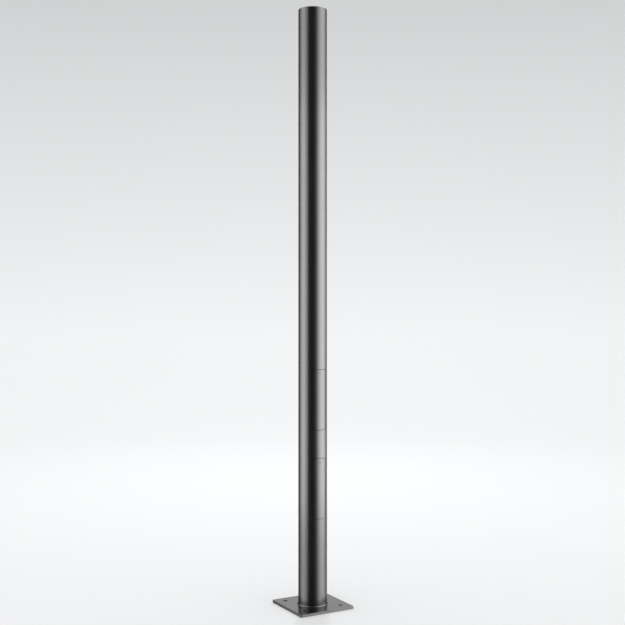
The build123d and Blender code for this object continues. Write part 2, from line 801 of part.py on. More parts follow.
for side, x in fuse_places.items():
    grip_back = holder_front - carrier_clearance
    grip_front = grip_back - carrier_grip_thickness
    carrier_rear = pocket_floor - carrier_clearance
    link_depth = carrier_rear - fuse_link_from_rear
    link_bottom = holder_middle - fuse_link_length / 2

    with BuildPart() as fuse_carrier:
        with BuildSketch(Plane.XZ.offset(-carrier_rear)):
            with Locations((x, holder_middle)):
                body_width = fuse_pocket_width - 2 * carrier_clearance
                body_height = fuse_pocket_height - 2 * carrier_clearance
                Rectangle(body_width, body_height)
        extrude(amount=carrier_rear - grip_back)
        with BuildSketch(Plane.XZ.offset(-grip_back)):
            with Locations((x, holder_middle)):
                grip_width = fuse_pocket_width + carrier_grip_overhang
                grip_height = fuse_pocket_height + carrier_grip_overhang
                RectangleRounded(grip_width, grip_height, carrier_corner_radius)
        extrude(amount=carrier_grip_thickness)
        with BuildSketch(Plane.XZ.offset(-grip_front)):
            with Locations((x, holder_middle)):
                RectangleRounded(carrier_finger_width, carrier_finger_height, carrier_corner_radius)
        extrude(amount=-carrier_finger_depth, mode=Mode.SUBTRACT)
        with BuildSketch(Plane.XZ.offset(-carrier_rear)):
            with Locations((x, holder_middle)):
                link_slot = fuse_link_diameter + 2 * fuse_link_clearance
                Rectangle(link_slot, fuse_link_length + 2 * fuse_link_clearance)
        extrude(amount=fuse_link_from_rear + link_slot / 2, mode=Mode.SUBTRACT)
    save(fuse_carrier, f"fuse_carrier_{side}")

    with BuildPart() as fuse_link:
        with BuildSketch(Plane.XY.offset(link_bottom)):
            with Locations((x, link_depth)):
                Circle(fuse_link_diameter / 2)
        extrude(amount=fuse_link_length)
        with BuildSketch(Plane.XY.offset(link_bottom + fuse_cap_length)):
            with Locations((x, link_depth)):
                Circle(fuse_link_diameter / 2)
                Circle(fuse_link_diameter / 2 - fuse_cap_step, mode=Mode.SUBTRACT)
        extrude(amount=fuse_link_length - 2 * fuse_cap_length, mode=Mode.SUBTRACT)
    save(fuse_link, f"fuse_link_{side}")

# ---------------------------------------------------------------- terminal block
terminal_middle = box_middle - terminal_below_middle
terminal_front = box_inner_back - terminal_depth
screw_rows = (terminal_middle - terminal_screw_spacing / 2, terminal_middle + terminal_screw_spacing / 2)
pole_xs = [(pole - (terminal_poles - 1) / 2) * terminal_pitch for pole in range(terminal_poles)]
screw_centres = [(x, z) for x in pole_xs for z in screw_rows]

with BuildPart() as terminal_block:
    with BuildSketch(Plane.XZ.offset(-box_inner_back)):
        with Locations((0, terminal_middle)):
            Rectangle(terminal_poles * terminal_pitch, terminal_height)
    extrude(amount=terminal_depth)
    with BuildSketch(Plane.XZ.offset(-terminal_front)):
        with Locations(*screw_centres):
            Circle(terminal_screw_diameter / 2)
        for edge in range(1, terminal_poles):
            with Locations(((edge - terminal_poles / 2) * terminal_pitch, terminal_middle)):
                Rectangle(terminal_divider_width, terminal_height - 2 * terminal_divider_margin)
    extrude(amount=-terminal_divider_depth, mode=Mode.SUBTRACT)
    with BuildSketch(Plane.XZ.offset(-terminal_front)):
        with Locations(*screw_centres):
            Circle(terminal_screw_diameter / 2)
    extrude(amount=-terminal_screw_depth, mode=Mode.SUBTRACT)
    with BuildSketch(Plane.XY.offset(terminal_middle - terminal_height / 2)):
        with Locations(*[(x, terminal_front + terminal_wire_depth) for x in pole_xs]):
            Circle(terminal_wire_diameter / 2)
    extrude(amount=terminal_height, mode=Mode.SUBTRACT)
save(terminal_block, "terminal_block")

with BuildPart() as terminal_screws:
    screw_end = terminal_front + terminal_screw_depth
    with BuildSketch(Plane.XZ.offset(-screw_end)):
        with Locations(*screw_centres):
            Circle(terminal_screw_diameter / 2 - terminal_screw_clearance)
    extrude(amount=terminal_screw_length)
    with BuildSketch(Plane.XZ.offset(-screw_end + terminal_screw_length)):
        with Locations(*screw_centres):
            Rectangle(terminal_screw_diameter, screw_slot_width)
    extrude(amount=-screw_slot_depth, mode=Mode.SUBTRACT)
save(terminal_screws, "terminal_screws")

# ---------------------------------------------------------------- earth terminal on the column's wall
stud_start = bore_radius - earth_stud_length

with BuildPart() as earth_stud:
    with BuildSketch(Plane.YZ.offset(stud_start)):
        with Locations((0, earth_stud_height)):
            Circle(earth_stud_diameter / 2)
    extrude(amount=earth_stud_length)
    with BuildSketch(Plane.XY.offset(earth_stud_height - earth_stud_diameter)):
        Circle(bore_radius)
    extrude(amount=2 * earth_stud_diameter, mode=Mode.INTERSECT)
save(earth_stud, "earth_stud")

with BuildPart() as earth_hardware:
    nut_seat = (bore_radius**2 - corner_radius(earth_nut_flats) ** 2) ** 0.5 - earth_first_nut_gap
    washer_seat = nut_seat - earth_nut_thickness - earth_terminal_gap
    stack = (
        (nut_seat, earth_nut_thickness, False),
        (washer_seat, earth_washer_thickness, True),
        (washer_seat - earth_washer_thickness, earth_nut_thickness, False),
    )
    for seat, thickness, is_washer in stack:
        with BuildSketch(Plane.YZ.offset(seat - thickness)):
            with Locations((0, earth_stud_height)):
                if is_washer:
                    Circle(earth_washer_diameter / 2)
                else:
                    RegularPolygon(corner_radius(earth_nut_flats), 6)
                Circle(earth_stud_diameter / 2 + stud_thread_clearance, mode=Mode.SUBTRACT)
        extrude(amount=thickness)
save(earth_hardware, "earth_hardware")
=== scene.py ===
# %% [markdown]
# # A street lamp post, told piece by piece
# The object is a straight round steel column, 4 m tall, welded to a square anchor plate. Two curved doors sit
# flush in its lower half, and a ring flange in its top carries the luminaire. The working parts come from a
# CAD model that is already in the right place, and this lesson gives them their looks.

# %% Load the CAD frame
import json
import math

import bmesh
import bpy
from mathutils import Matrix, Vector

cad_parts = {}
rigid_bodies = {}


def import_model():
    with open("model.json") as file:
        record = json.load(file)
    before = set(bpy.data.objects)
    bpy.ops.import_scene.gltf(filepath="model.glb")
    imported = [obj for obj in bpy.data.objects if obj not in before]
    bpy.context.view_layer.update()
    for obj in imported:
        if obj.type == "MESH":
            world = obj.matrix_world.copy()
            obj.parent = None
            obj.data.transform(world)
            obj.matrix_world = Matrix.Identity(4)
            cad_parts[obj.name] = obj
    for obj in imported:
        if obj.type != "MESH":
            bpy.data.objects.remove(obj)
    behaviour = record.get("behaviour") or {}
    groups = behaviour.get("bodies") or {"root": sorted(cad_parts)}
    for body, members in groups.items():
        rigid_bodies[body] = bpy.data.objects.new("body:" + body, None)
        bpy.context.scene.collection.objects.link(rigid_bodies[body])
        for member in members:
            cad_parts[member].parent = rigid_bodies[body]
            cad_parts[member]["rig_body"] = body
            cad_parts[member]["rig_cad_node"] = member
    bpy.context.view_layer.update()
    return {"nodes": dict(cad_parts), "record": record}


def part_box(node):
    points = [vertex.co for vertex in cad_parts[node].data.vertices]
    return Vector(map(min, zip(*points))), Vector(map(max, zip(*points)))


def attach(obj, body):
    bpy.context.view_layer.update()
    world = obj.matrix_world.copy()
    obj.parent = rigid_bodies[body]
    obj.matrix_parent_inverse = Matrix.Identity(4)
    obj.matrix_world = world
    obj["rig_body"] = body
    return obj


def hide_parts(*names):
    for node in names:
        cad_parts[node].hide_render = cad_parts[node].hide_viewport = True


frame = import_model()
bpy.ops.object.select_all(action="DESELECT")

# %% [markdown]
# ## Camera
# A post is drawn best from about half its height with a level camera, because its sides then stay parallel.
# The camera stands to the left of the doors, so they are seen at an angle. A small shift moves the post to the
# middle of the frame, where a tilt would make its sides lean.

# %% Camera
MM = 0.001
camera_azimuth = math.radians(-30)
camera_distance = 6.772
camera_height = 1.996

camera_data = bpy.data.cameras.new("camera")
camera_data.sensor_width = 36
camera_data.lens = 58.03
camera_data.shift_x = -0.0002
camera_data.shift_y = -0.0063
camera = bpy.data.objects.new("camera", camera_data)
camera.location = (
    math.sin(camera_azimuth) * camera_distance,
    -math.cos(camera_azimuth) * camera_distance,
    camera_height,
)
camera.rotation_euler = (math.radians(90), 0, camera_azimuth)
bpy.context.scene.collection.objects.link(camera)
bpy.context.scene.camera = camera
bpy.context.scene.view_settings.view_transform = "Standard"
print("camera at", tuple(round(v, 3) for v in camera.location))

# %% [markdown]
# ## Two helpers for materials
# Colours are written as the hex values that a paint chart gives. Those are sRGB, and shaders calculate in
# linear light, so one function converts them. A second one adds a node, sets it and links it in one call.

# %% Helpers for materials
def linear(hex_colour, alpha=1.0):
    """An sRGB hex colour such as "#9aa0a4" as a linear RGBA value."""
    channels = [int(hex_colour[i : i + 2], 16) / 255 for i in (1, 3, 5)]
    return (*[c / 12.92 if c <= 0.04045 else ((c + 0.055) / 1.055) ** 2.4 for c in channels], alpha)


def add_node(tree, kind, settings=None, **inputs):
    """Adds a node. settings are its own options, and each input is a value or another node's output."""
    made = tree.nodes.new("ShaderNode" + kind)
    for option, value in (settings or {}).items():
        setattr(made, option, value)
    for name, value in inputs.items():
        socket = made.inputs[int(name[1:]) if name[0] == "_" and name[1:].isdigit() else name.replace("_", " ")]
        if isinstance(value, bpy.types.NodeSocket):
            tree.links.new(value, socket)
        else:
            socket.default_value = value
    return made


def new_material(name):
    """An empty material, with its node tree and the surface socket of its output."""
    material = bpy.data.materials.new(name)
    material.use_nodes = True
    tree = material.node_tree
    tree.nodes.clear()
    return material, tree, add_node(tree, "OutputMaterial").inputs["Surface"]


# %% [markdown]
# ## Studio
# The floor is a wide sheet of pale paper that curves up into a wall, all the way round, so that every side of
# the post is seen against the same background. The paper is left out of reflections: what the glossy paint
# mirrors is a bank of tall softboxes at each side, and a room that is dark where the viewer stands. That is how
# a dark round object gets its two bright bands and its dark middle.

# %% Backdrop
floor_radius = 9.0
sweep_radius = 5.0
wall_height = 14.0
sweep_steps = 24
paper_sides = 96

outline = [(0.0, 0.0), (floor_radius, 0.0)]
for step in range(1, sweep_steps + 1):
    turn = math.radians(90) * step / sweep_steps
    outline.append((floor_radius + sweep_radius * math.sin(turn), sweep_radius * (1 - math.cos(turn))))
outline.append((floor_radius + sweep_radius, wall_height))
paper_mesh = bpy.data.meshes.new("backdrop")
paper_mesh.from_pydata([(r, 0, z) for r, z in outline], [(i, i + 1) for i in range(len(outline) - 1)], [])
backdrop = bpy.data.objects.new("backdrop", paper_mesh)
bpy.context.scene.collection.objects.link(backdrop)
bpy.context.view_layer.objects.active = backdrop
backdrop.select_set(True)
bpy.ops.object.mode_set(mode="EDIT")
bpy.ops.mesh.select_all(action="SELECT")
bpy.ops.mesh.spin(steps=paper_sides, angle=math.radians(360), center=(0, 0, 0), axis=(0, 0, 1))
bpy.ops.mesh.remove_doubles(threshold=0.0001)
bpy.ops.mesh.normals_make_consistent(inside=True)
bpy.ops.object.mode_set(mode="OBJECT")
bpy.ops.object.shade_smooth()
backdrop.select_set(False)
backdrop.visible_glossy = False
backdrop.visible_diffuse = False
backdrop.visible_shadow = False
print("backdrop:", len(backdrop.data.polygons), "faces")

# The paper is white on the floor and painted darker, to a light grey, up the wall: painted shade for the light
# falling off with height.
paper, tree, surface = new_material("background paper with painted falloff")
fade_start, fade_end = 1.5, 8.0
height = add_node(tree, "SeparateXYZ", Vector=add_node(tree, "TexCoord").outputs["Object"]).outputs["Z"]
fade = add_node(tree, "MapRange", _0=height, _1=fade_start, _2=fade_end)
painted_falloff_tint = add_node(tree, "MixRGB", _0=fade.outputs[0], _1=linear("#f9fafb"), _2=linear("#d6d7d8"))
shader = add_node(tree, "BsdfPrincipled", Base_Color=painted_falloff_tint.outputs[0], Roughness=0.9)
shader.inputs["Specular IOR Level"].default_value = 0.0
tree.links.new(shader.outputs["BSDF"], surface)
backdrop.data.materials.append(paper)

# %% Lights
room_light = 0.84
towards_viewer = Vector((math.sin(camera_azimuth), -math.cos(camera_azimuth), 0))
to_the_right = Vector((math.cos(camera_azimuth), math.sin(camera_azimuth), 0))


def softbox(name, bearing, distance, width, bottom, top, radiance, **visibility):
    """An area light facing the post. bearing is in degrees from the viewer's side, to the right."""
    data = bpy.data.lights.new(name, "AREA")
    data.shape = "RECTANGLE"
    data.size, data.size_y = width, top - bottom
    data.energy = radiance * math.pi * width * (top - bottom)
    light = bpy.data.objects.new(name, data)
    angle = math.radians(bearing)
    place = (towards_viewer * math.cos(angle) + to_the_right * math.sin(angle)) * distance
    light.location = place + Vector((0, 0, (top + bottom) / 2))
    light.rotation_euler = (-place).to_track_quat("-Z", "Y").to_euler()
    light.visible_camera = False
    for kind, seen in visibility.items():
        setattr(light, f"visible_{kind}", seen)
    bpy.context.scene.collection.objects.link(light)
    return light


# The brightest boxes stand beside the post, and each bank fades towards its ends and its top and bottom.
# The bank gives a radiance for each bearing, and a tier is a bottom, a top and its share of that radiance.
bank = {-110: 2.5, -90: 8.0, -70: 10.0, -50: 6.0, 30: 1.0, 50: 8.0, 70: 12.5, 90: 11.5, 110: 5.8, 130: 0.8}
tiers = ((-2.5, 0.0, 0.52), (0.0, 4.0, 0.95), (4.0, 6.5, 0.64))
box_spacing = math.radians(20)
box_distance = 3.0
box_width = 2 * box_distance * math.tan(box_spacing / 2)
for bearing, level in bank.items():
    for bottom, top, share in tiers:
        name = f"softbox {bearing} {bottom}"
        softbox(name, bearing, box_distance, box_width, bottom, top, level * share, diffuse=False)

# A bare lamp high behind the post brightens the paper there, and fades out evenly to all sides.
lamp_distance = 5.0
lamp_height = 7.0
wall_lamp = bpy.data.lights.new("wall lamp", "POINT")
wall_lamp.energy = 400
wall_lamp.shadow_soft_size = 0.5
behind = bpy.data.objects.new("wall lamp", wall_lamp)
behind.location = -towards_viewer * lamp_distance + Vector((0, 0, lamp_height))
behind.visible_camera = behind.visible_glossy = False
bpy.context.scene.collection.objects.link(behind)

# The room has two faces. Plain surfaces receive even light, and glossy ones mirror a room that is dark where
# the viewer stands and bright only straight behind the post.
world = bpy.data.worlds.new("studio room")
bpy.context.scene.world = world
world.use_nodes = True
tree = world.node_tree
tree.nodes.clear()
direction = add_node(tree, "TexCoord").outputs["Generated"]
facing = add_node(tree, "VectorMath", {"operation": "DOT_PRODUCT"}, _0=direction, _1=tuple(towards_viewer))
from_behind = add_node(tree, "MapRange", _0=facing.outputs["Value"], _1=-1.0, _2=1.0)
ramp = add_node(tree, "ValToRGB", Fac=from_behind.outputs[0])
stops = ((0.0, 1.6), (0.03, 1.2), (0.09, 0.10), (0.5, 0.06), (1.0, 0.03))
while len(ramp.color_ramp.elements) < len(stops):
    ramp.color_ramp.elements.new(0.5)
for element, (place, level) in zip(ramp.color_ramp.elements, stops):
    element.position = place
    element.color = (level, level, level, 1)
mirrored = add_node(tree, "Background", Color=ramp.outputs["Color"])
plain = add_node(tree, "Background", Color=linear("#ffffff"), Strength=room_light)
is_mirrored = add_node(tree, "LightPath").outputs["Is Glossy Ray"]
room = add_node(tree, "MixShader", _0=is_mirrored, _1=plain.outputs[0], _2=mirrored.outputs[0])
tree.links.new(room.outputs[0], add_node(tree, "OutputWorld").inputs["Surface"])

# %% [markdown]
# ## Materials
# Each finish starts from the real one: its colour, how metallic and how rough it is, and the marks that its
# making leaves. Every pattern reads Object coordinates, which are metres here, so a pattern's scale is one
# divided by its size in metres.

# %% [markdown]
# ## Powder coat
# Polyester powder is sprayed on dry and melts into a skin 0.08 mm thick. It sets satin, and its surface tension
# leaves the shallow dimples called orange peel, 1 to 3 mm apart. Handling and rain leave it a little uneven. To
# the eye it is near black, with long soft bands of light.

# %% Powder coat
peel_size = 2.2
peel_depth = 0.005
smudge_size = 180.0
powder_coat, tree, surface = new_material("anthracite powder coat, satin")
place = add_node(tree, "TexCoord").outputs["Object"]
peel = add_node(tree, "TexNoise", Vector=place, Scale=1 / (peel_size * MM), Detail=1.5, Roughness=0.4)
smudges = add_node(tree, "TexNoise", Vector=place, Scale=1 / (smudge_size * MM), Detail=2.0)
shade = add_node(tree, "MixRGB", _0=smudges.outputs["Fac"], _1=linear("#0f1010"), _2=linear("#131414"))
gloss = add_node(tree, "MapRange", _0=smudges.outputs["Fac"], _1=0.3, _2=0.7, _3=0.255, _4=0.272)
relief = add_node(tree, "Bump", Height=peel.outputs["Fac"], Strength=1.0, Distance=peel_depth * MM)
shader = add_node(
    tree, "BsdfPrincipled", Base_Color=shade.outputs[0], Roughness=gloss.outputs[0], IOR=1.5,
    Normal=relief.outputs[0],
)  # fmt: skip
tree.links.new(shader.outputs["BSDF"], surface)
print("finish:", powder_coat.name)

# %% [markdown]
# ## Powder coat in the door recesses
# In a recess the electric field keeps the powder out, so it lands thin and dry there and stays matt and rough.
# Its colour is also painted a little darker and its specular lowered: painted shade, so that the joint round a
# door is seen as a dark line. Its grit is a tenth of a millimetre, and it is drawn coarser here so that it
# shows.

# %% Powder coat in the door recesses
grit_size = 0.9
grit_depth = 0.03
recess_coat_and_painted_shade, tree, surface = new_material("anthracite powder coat, thin and matt")
place = add_node(tree, "TexCoord").outputs["Object"]
grit = add_node(tree, "TexNoise", Vector=place, Scale=1 / (grit_size * MM), Detail=2.0)
# The darker colour is painted shade for the joint round a door, on top of the grit's random tone.
shade = add_node(tree, "MixRGB", _0=grit.outputs["Fac"], _1=linear("#0b0b0b"), _2=linear("#101111"))
relief = add_node(tree, "Bump", Height=grit.outputs["Fac"], Strength=1.0, Distance=grit_depth * MM)
shader = add_node(tree, "BsdfPrincipled", Base_Color=shade.outputs[0], Roughness=0.85, Normal=relief.outputs[0])
shader.inputs["Specular IOR Level"].default_value = 0.2
tree.links.new(shader.outputs["BSDF"], surface)
print("finish:", recess_coat_and_painted_shade.name)

# %% [markdown]
# ## Metals
# One function builds every bare metal here, because they differ only in colour, roughness and the size of their
# crystals or tool marks. Crystals are Voronoi cells, each with a shade and a gloss of its own.


# %% Metals
def metal(name, dark, light, grain_size, roughness, spread, scratch_size=0.4, scratch_depth=0.004):
    """A bare metal. Sizes and depths are in millimetres, and spread is how much the gloss varies."""
    made, tree, surface = new_material(name)
    place = add_node(tree, "TexCoord").outputs["Object"]
    drift = add_node(tree, "TexNoise", Vector=place, Scale=0.6 / (grain_size * MM), Detail=2.0)
    bent = add_node(tree, "VectorMath", {"operation": "MULTIPLY_ADD"}, _0=drift.outputs["Color"], _2=place)
    bent.inputs[1].default_value = (0.5 * grain_size * MM,) * 3
    crystals = add_node(tree, "TexVoronoi", Vector=bent.outputs["Vector"], Scale=1 / (grain_size * MM))
    tone = add_node(tree, "SeparateColor", Color=crystals.outputs["Color"])
    colour = add_node(tree, "MixRGB", _0=tone.outputs[0], _1=linear(dark), _2=linear(light))
    gloss = add_node(tree, "MapRange", _0=tone.outputs[1], _3=roughness - spread, _4=roughness + spread)
    marks = add_node(tree, "TexNoise", Vector=place, Scale=1 / (scratch_size * MM), Detail=3.0, Roughness=0.7)
    relief = add_node(tree, "Bump", Height=marks.outputs["Fac"], Strength=1.0, Distance=scratch_depth * MM)
    shader = add_node(
        tree, "BsdfPrincipled", Base_Color=colour.outputs[0], Metallic=1.0, Roughness=gloss.outputs[0],
        Normal=relief.outputs[0],
    )  # fmt: skip
    tree.links.new(shader.outputs["BSDF"], surface)
    return made


# Molten zinc freezes on the steel in flat crystals, seen as a patchwork of lighter and darker greys.
galvanised = metal("galvanised steel, hot dipped", "#84898c", "#a9aeb0", 9.0, 0.42, 0.10, 1.2, 0.02)
# Plating follows the drawn or rolled steel below, so it is smoother, brighter and a little blue.
zinc_plated = metal("zinc-plated steel, bright", "#b4b8bb", "#c6cacc", 2.5, 0.27, 0.05)
# Passivating turns zinc dark grey, and the polished die leaves it smooth enough for clear highlights.
lock_black = metal("die-cast zinc, black passivated", "#434343", "#505050", 0.5, 0.28, 0.04, 0.25, 0.003)
# Turning leaves fine rings, too fine to show, and they blur the highlights a little.
brass = metal("brass, drawn and turned", "#b99449", "#c8a357", 3.0, 0.3, 0.07)
# Nickel on a pressed cap is nearly a mirror, a little warmer than zinc.
nickel = metal("brass caps, nickel plated", "#b9b3a6", "#c9c3b6", 2.0, 0.22, 0.05)
print("metals:", [m.name for m in (galvanised, zinc_plated, lock_black, brass, nickel)])


# %% [markdown]
# ## Plastics, rubber and ceramic
# These are moulded, so their fine texture comes from the mould: a spark-eroded steel mould leaves an even grain,
# and a polished one leaves almost none. Colour flows a little in the melt, which shows as faint clouds. An even
# grain is a tenth of a millimetre or less, and it is drawn coarser here so that it shows.


# %% Plastics
def moulded(name, dark, light, roughness, ior, grain_size, grain_depth, cloud_size=35.0):
    """A moulded plastic, rubber or glazed ceramic. Sizes are in millimetres."""
    made, tree, surface = new_material(name)
    place = add_node(tree, "TexCoord").outputs["Object"]
    clouds = add_node(tree, "TexNoise", Vector=place, Scale=1 / (cloud_size * MM), Detail=3.0)
    grain = add_node(tree, "TexNoise", Vector=place, Scale=1 / (grain_size * MM), Detail=2.0, Roughness=0.6)
    colour = add_node(tree, "MixRGB", _0=clouds.outputs["Fac"], _1=linear(dark), _2=linear(light))
    gloss = add_node(tree, "MapRange", _0=grain.outputs["Fac"], _3=roughness - 0.06, _4=roughness + 0.06)
    relief = add_node(tree, "Bump", Height=grain.outputs["Fac"], Strength=1.0, Distance=grain_depth * MM)
    shader = add_node(
        tree, "BsdfPrincipled", Base_Color=colour.outputs[0], Roughness=gloss.outputs[0],
        Normal=relief.outputs[0],
    )  # fmt: skip
    shader.inputs["IOR"].default_value = ior
    tree.links.new(shader.outputs["BSDF"], surface)
    return made


# Rubber has a dusty bloom, so it scatters light and has no clear highlight.
rubber = moulded("EPDM rubber, moulded", "#111212", "#1c1d1d", 0.68, 1.5, 0.7, 0.03, 12.0)
# The box has a fine eroded texture that hides scratches and looks evenly matt.
box_grey = moulded("polycarbonate, light grey, fine texture", "#b9bcbb", "#c3c6c4", 0.46, 1.585, 0.6, 0.03)
# Nylon flows well and copies a smooth mould, so glands and terminals have a waxy sheen.
gland_grey = moulded("nylon, light grey, moulded", "#a4a8aa", "#b0b4b6", 0.38, 1.53, 1.0, 0.012)
terminal_cream = moulded("nylon, cream, moulded", "#c2bba4", "#cfc8b2", 0.36, 1.53, 0.8, 0.012)
# Pressed phenolic comes out glossy, with a faint brown cast where its filler shows.
carrier_black = moulded("phenolic, black, pressed", "#141312", "#1f1d1b", 0.26, 1.63, 2.0, 0.008, 8.0)
# Glaze melts to glass over the ceramic, so it has a sharp highlight on a warm white.
steatite = moulded("steatite ceramic, white glazed", "#dedad0", "#e8e4db", 0.16, 1.55, 3.0, 0.01, 6.0)
finishes = {
    "post_paint": powder_coat, "galvanised_steel": galvanised, "plated_steel": zinc_plated,
    "lock_steel": lock_black, "brass": brass, "black_rubber": rubber, "box_plastic": box_grey,
    "gland_plastic": gland_grey, "terminal_plastic": terminal_cream, "carrier_plastic": carrier_black,
    "fuse_ceramic": steatite,
}  # fmt: skip
print("materials:", [m.name for m in bpy.data.materials])


# %% [markdown]
# ## Helpers for modelling
# Work in edit mode repeats a few steps: choosing faces or edges by where they are, applying a modifier, cutting
# one solid with another, and handing the finished piece over. The hand-over merges doubles, points the faces
# outwards, hides the CAD nodes that the piece stands for, and puts it on the body it moves with.


# %% Helpers for modelling
def choose(test, kind="FACE"):
    """In edit mode, selects the vertices, edges or faces of the active object whose middle passes a test."""
    bpy.ops.object.mode_set(mode="EDIT")
    bpy.ops.mesh.select_mode(type=kind)
    bpy.ops.mesh.select_all(action="DESELECT")
    shape = bmesh.from_edit_mesh(bpy.context.object.data)
    elements = {"VERT": shape.verts, "EDGE": shape.edges, "FACE": shape.faces}[kind]
    for element in elements:
        corners = [element.co] if kind == "VERT" else [v.co for v in element.verts]
        element.select = bool(test(sum(corners, Vector()) / len(corners), corners))
    shape.select_flush_mode()
    bmesh.update_edit_mesh(bpy.context.object.data)


def object_mode():
    bpy.ops.object.mode_set(mode="OBJECT")


def modify(kind, **settings):
    """Adds a modifier to the active object and applies it."""
    made = bpy.context.object.modifiers.new(kind.lower(), kind)
    for option, value in settings.items():
        setattr(made, option, value)
    bpy.ops.object.modifier_apply(modifier=made.name)


def soften(width, segments=2, angle=40):
    """Rounds the active object's sharp edges. width is in millimetres."""
    modify(
        "BEVEL", width=width * MM, segments=segments, limit_method="ANGLE", angle_limit=math.radians(angle),
        harden_normals=False,
    )  # fmt: skip


def cut(piece, *cutters, operation="DIFFERENCE"):
    """Cuts a piece with each cutter and removes the cutters."""
    for cutter in cutters:
        bpy.context.view_layer.objects.active = piece
        modify("BOOLEAN", operation=operation, object=cutter, solver="EXACT")
        bpy.data.objects.remove(cutter)
    bpy.ops.object.select_all(action="DESELECT")
    piece.select_set(True)


def block(low, high, radius=0.0, segments=10):
    """A block between two corners. radius rounds its four edges that run front to back."""
    low, high = Vector(low), Vector(high)
    bpy.ops.mesh.primitive_cube_add(size=1, location=(low + high) / 2, scale=high - low)
    bpy.ops.object.transform_apply(location=True, rotation=True, scale=True)
    if radius:
        choose(lambda middle, ends: abs(ends[0].x - ends[1].x) + abs(ends[0].z - ends[1].z) < 1e-6, "EDGE")
        bpy.ops.mesh.bevel(offset=radius, segments=segments, affect="EDGES")
        object_mode()
    return bpy.context.object


def rod(radius, start, end, vertices=48):
    """A round bar between two points."""
    start, end = Vector(start), Vector(end)
    bpy.ops.mesh.primitive_cylinder_add(
        vertices=vertices, radius=radius, depth=(end - start).length, location=(start + end) / 2,
        rotation=(end - start).to_track_quat("Z", "Y").to_euler(),
    )  # fmt: skip
    bpy.ops.object.transform_apply(location=True, rotation=True, scale=True)
    return bpy.context.object


# A ring of this radius stands for a point on the axis, where a ring of nothing could not be scaled up again.
point = 0.01 * MM


def turned(outline, centre, axis, vertices=48):
    """A turned solid: a circle drawn out ring by ring. outline is a list of (radius, distance along axis)."""
    radius, level = outline[0]
    bpy.ops.mesh.primitive_circle_add(vertices=vertices, radius=max(radius, point), fill_type="NOTHING")
    bpy.ops.object.mode_set(mode="EDIT")
    bpy.ops.mesh.select_all(action="SELECT")
    bpy.ops.transform.translate(value=(0, 0, level))
    for wider, further in outline[1:]:
        bpy.ops.mesh.extrude_region_move(TRANSFORM_OT_translate={"value": (0, 0, further - level)})
        step = max(wider, point) / max(radius, point)
        bpy.ops.transform.resize(value=(step, step, 1), center_override=(0, 0, further))
        radius, level = wider, further
    bpy.ops.mesh.select_all(action="SELECT")
    bpy.ops.mesh.remove_doubles(threshold=2.5e-5)
    object_mode()
    made = bpy.context.object
    made.location = centre
    made.rotation_euler = Vector(axis).to_track_quat("Z", "Y").to_euler()
    bpy.ops.object.transform_apply(location=True, rotation=True, scale=True)
    return made


def hand_over(piece, name, *nodes, smooth=35, finish=None):
    """Finishes a piece and puts it in the place of CAD nodes, whose body and material slot it takes."""
    bpy.ops.object.select_all(action="DESELECT")
    piece.select_set(True)
    bpy.context.view_layer.objects.active = piece
    bpy.ops.object.mode_set(mode="EDIT")
    bpy.ops.mesh.select_all(action="SELECT")
    bpy.ops.mesh.remove_doubles(threshold=1e-6)
    bpy.ops.mesh.normals_make_consistent(inside=False)
    object_mode()
    bpy.ops.object.shade_smooth_by_angle(angle=math.radians(smooth))
    modify("WEIGHTED_NORMAL", mode="FACE_AREA", keep_sharp=True)
    piece.name = piece.data.name = name
    slot_name = slots[nodes[0]]
    if len(piece.data.materials) < 2:
        piece.data.materials.clear()
        piece.data.materials.append(finish or finishes[slot_name])
    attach(piece, frame["nodes"][nodes[0]]["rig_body"])
    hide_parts(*nodes)
    piece.select_set(False)
    print(f"{name}: {len(piece.data.polygons)} faces")
    return piece


slots = {part["node"]: part["material_slot"] for part in frame["record"]["subparts"]}

# %% [markdown]
# ## Column tube
# The column is a welded steel tube, 4.5 mm thick. It could be drawn as a ring and extruded, but an open cylinder
# with a Solidify modifier keeps its wall as one number. The door openings are cut after that with rounded
# blocks, and last every sharp edge is rounded by the thickness of the paint.

# %% Column tube
tube_low, tube_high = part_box("post_tube")
tube_radius = tube_high.x
tube_wall = 4.5 * MM
cut_front, cut_back = -0.15, -0.03
door_gap = 2.8 * MM
door_corner = 18.8 * MM
door_boxes = {where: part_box(f"{where}_door_panel") for where in ("lower", "upper")}
round_steps = 256
corner_steps = 12

bpy.ops.mesh.primitive_cylinder_add(
    vertices=round_steps, radius=tube_radius, depth=tube_high.z - tube_low.z, end_fill_type="NOTHING",
    location=(0, 0, (tube_low.z + tube_high.z) / 2),
)  # fmt: skip
bpy.ops.object.transform_apply(location=True, rotation=True, scale=True)
modify("SOLIDIFY", thickness=tube_wall, offset=-1)
column = bpy.context.object
openings = [
    block(
        (low.x - door_gap, cut_front, low.z - door_gap), (high.x + door_gap, cut_back, high.z + door_gap),
        door_corner + door_gap, corner_steps,
    )
    for low, high in door_boxes.values()
]  # fmt: skip
cut(column, *openings)
soften(0.2)
hand_over(column, "column_tube", "post_tube")

# %% [markdown]
# ## Anchor plate
# The plate is flame cut from 18 mm sheet, so its upright edges are slightly rounded and its rims are ground. The
# holes take the anchor bolts of the foundation. Holes are cut first, so that one bevel rounds all rims alike.

# %% Anchor plate
plate_low, plate_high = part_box("base_plate")
plate_corner = 6 * MM
bolt_offset = 135 * MM
bolt_hole_radius = 14 * MM
column_hole_radius = 97.15 * MM
through = 0.05

